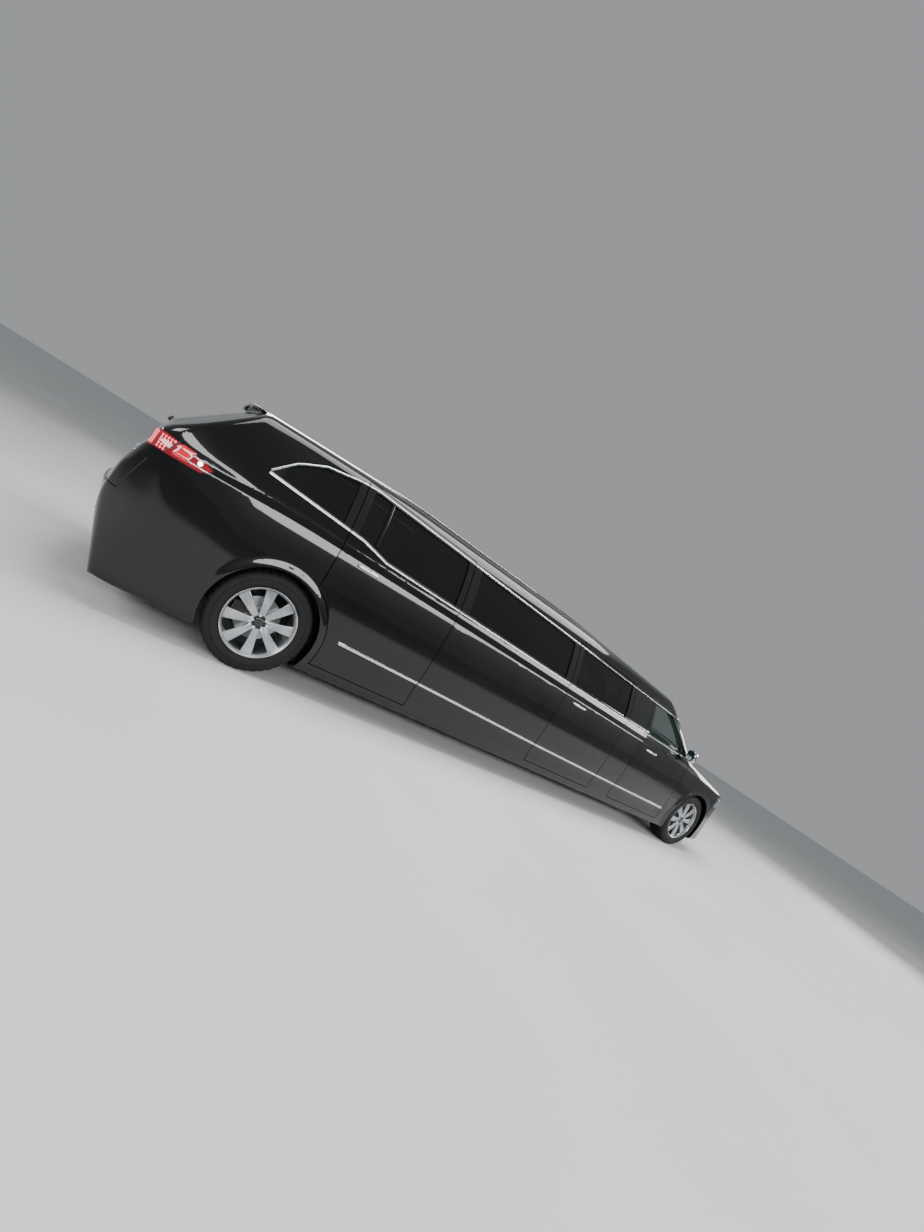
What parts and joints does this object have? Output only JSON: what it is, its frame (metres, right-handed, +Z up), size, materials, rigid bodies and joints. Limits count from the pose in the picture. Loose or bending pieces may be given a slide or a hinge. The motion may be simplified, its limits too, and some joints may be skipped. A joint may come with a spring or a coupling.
{
  "type": "stretch limousine",
  "caption": "Long black stretch limousine with tinted side windows, chrome waist moulding, wrap-round red tail lamps, opening doors, hood and liftgate, and wheels that roll and steer.",
  "frame": {"origin": "on the floor, under the middle of the length and width of the car", "axes": "+X to the nose, +Y to the left of the car, +Z up"},
  "size_m": [8.2461, 2.176, 1.745],
  "materials": {
    "black_paint": "gloss",
    "tinted_glass": "gloss",
    "clear_glass": "gloss",
    "red_lens": "gloss",
    "lamp_lens": "gloss",
    "chrome_trim": "polished",
    "floor_coating": "satin",
    "cowl_plastic": "matte",
    "engine_metal": "satin",
    "radiator_core": "matte",
    "forged_metal": "satin",
    "exhaust_steel": "satin",
    "dash_plastic": "matte",
    "seat_leather": "satin",
    "partition_trim": "satin",
    "cabinet_wood": "gloss",
    "rim_silver": "satin",
    "tyre_rubber": "matte"
  },
  "bodies": {
    "body": {"floor_pan": "floor_coating", "rear_floor": "floor_coating", "front_structure": "floor_coating", "body_side_left": "black_paint", "body_side_right": "black_paint", "front_fenders": "black_paint", "roof_panel": "black_paint", "front_bumper": "black_paint", "grille": "chrome_trim", "rear_bumper": "black_paint", "headlamps": "lamp_lens", "tail_lamps": "red_lens", "windscreen": "clear_glass", "cowl": "cowl_plastic", "side_glass": "tinted_glass", "engine": "engine_metal", "radiator": "radiator_core", "front_suspension": "forged_metal", "rear_suspension": "forged_metal", "exhaust": "exhaust_steel", "dashboard": "dash_plastic", "front_seats": "seat_leather", "saloon_seats": "seat_leather", "partition": "partition_trim", "bar_cabinet": "cabinet_wood"},
    "hood": {"hood": "black_paint"},
    "liftgate": {"liftgate": "black_paint", "liftgate_glass": "tinted_glass", "liftgate_lamps": "red_lens"},
    "front_door_left": {"front_door_left": "black_paint", "front_door_glass_left": "clear_glass"},
    "front_door_right": {"front_door_right": "black_paint", "front_door_glass_right": "clear_glass"},
    "rear_door_left": {"rear_door_left": "black_paint", "rear_door_glass_left": "tinted_glass"},
    "rear_door_right": {"rear_door_right": "black_paint", "rear_door_glass_right": "tinted_glass"},
    "middle_door_right": {"middle_door_right": "black_paint", "middle_door_glass_right": "tinted_glass"},
    "knuckle_left": {"knuckle_left": "forged_metal"},
    "knuckle_right": {"knuckle_right": "forged_metal"},
    "wheel_front_left": {"rim_front_left": "rim_silver", "tyre_front_left": "tyre_rubber"},
    "wheel_front_right": {"rim_front_right": "rim_silver", "tyre_front_right": "tyre_rubber"},
    "wheel_rear_left": {"rim_rear_left": "rim_silver", "tyre_rear_left": "tyre_rubber"},
    "wheel_rear_right": {"rim_rear_right": "rim_silver", "tyre_rear_right": "tyre_rubber"}
  },
  "joints": [
    {"name": "hood_hinge", "type": "hinge", "parent": "body", "child": "hood", "pos_m": [2.871, 0, 1.142], "axis": [0, -1, 0], "range_deg": [0, 55]},
    {"name": "liftgate_hinge", "type": "hinge", "parent": "body", "child": "liftgate", "pos_m": [-3.483, 0, 1.656], "axis": [0, 1, 0], "range_deg": [0, 82]},
    {"name": "front_door_left_hinge", "type": "hinge", "parent": "body", "child": "front_door_left", "pos_m": [2.535, 0.965, 0.7], "axis": [0, 0, -1], "range_deg": [0, 68]},
    {"name": "front_door_right_hinge", "type": "hinge", "parent": "body", "child": "front_door_right", "pos_m": [2.535, -0.965, 0.7], "axis": [0, 0, 1], "range_deg": [0, 68]},
    {"name": "rear_door_left_hinge", "type": "hinge", "parent": "body", "child": "rear_door_left", "pos_m": [-1.553, 0.965, 0.7], "axis": [0, 0, -1], "range_deg": [0, 68]},
    {"name": "rear_door_right_hinge", "type": "hinge", "parent": "body", "child": "rear_door_right", "pos_m": [-1.553, -0.965, 0.7], "axis": [0, 0, 1], "range_deg": [0, 68]},
    {"name": "middle_door_right_hinge", "type": "hinge", "parent": "body", "child": "middle_door_right", "pos_m": [1.062, -0.965, 0.7], "axis": [0, 0, 1], "range_deg": [0, 68]},
    {"name": "steer_left", "type": "hinge", "parent": "body", "child": "knuckle_left", "pos_m": [3.145, 0.745, 0.37], "axis": [0, 0, 1], "range_deg": [-34, 34]},
    {"name": "steer_right", "type": "hinge", "parent": "body", "child": "knuckle_right", "pos_m": [3.145, -0.745, 0.37], "axis": [0, 0, 1], "range_deg": [-34, 34]},
    {"name": "spin_front_left", "type": "hinge", "parent": "knuckle_left", "child": "wheel_front_left", "pos_m": [3.145, 0.83, 0.37], "axis": [0, 1, 0], "continuous": true},
    {"name": "spin_front_right", "type": "hinge", "parent": "knuckle_right", "child": "wheel_front_right", "pos_m": [3.145, -0.83, 0.37], "axis": [0, 1, 0], "continuous": true},
    {"name": "spin_rear_left", "type": "hinge", "parent": "body", "child": "wheel_rear_left", "pos_m": [-2.898, 0.83, 0.37], "axis": [0, 1, 0], "continuous": true},
    {"name": "spin_rear_right", "type": "hinge", "parent": "body", "child": "wheel_rear_right", "pos_m": [-2.898, -0.83, 0.37], "axis": [0, 1, 0], "continuous": true}
  ],
  "couplings": [
    {"joint": "steer_right", "follows": "steer_left", "ratio": 1}
  ]
}
